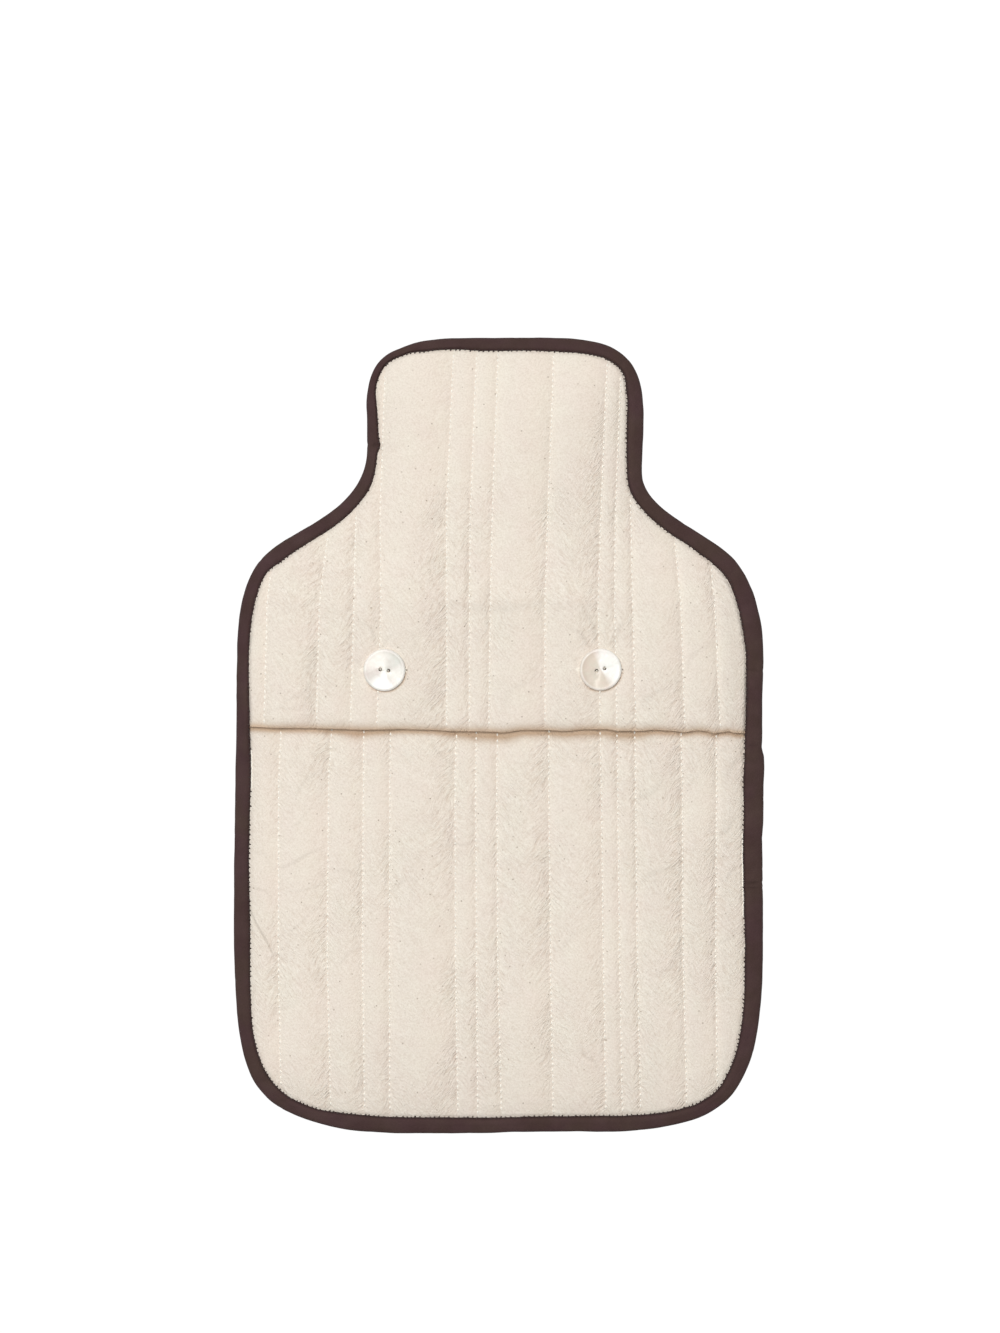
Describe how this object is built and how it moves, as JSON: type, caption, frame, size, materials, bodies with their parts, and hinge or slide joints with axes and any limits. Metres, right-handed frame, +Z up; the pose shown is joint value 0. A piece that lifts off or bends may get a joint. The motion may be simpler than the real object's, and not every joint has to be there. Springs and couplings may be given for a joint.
{
  "type": "hot water bottle cover",
  "caption": "Quilted cotton cover for a hot water bottle: a neck, a buttoned flap over a front pocket, a quilted back and a dark bound edge, lying flat on its back.",
  "frame": {"origin": "under the middle of the cover, on the surface that it lies on", "axes": "+X across the cover to its right as seen from above, +Y from the foot to the neck, +Z up out of the front"},
  "size_m": [0.24, 0.36, 0.0209],
  "materials": {
    "cream_quilt": "matt washed cotton, quilted in channels",
    "brown_strip": "fine plain cotton strip",
    "shell": "polished mother-of-pearl"
  },
  "bodies": {
    "root": {"back_panel": "cream_quilt", "front_panel": "cream_quilt", "flap": "cream_quilt", "binding": "brown_strip", "button_left": "shell", "button_right": "shell"}
  },
  "joints": []
}
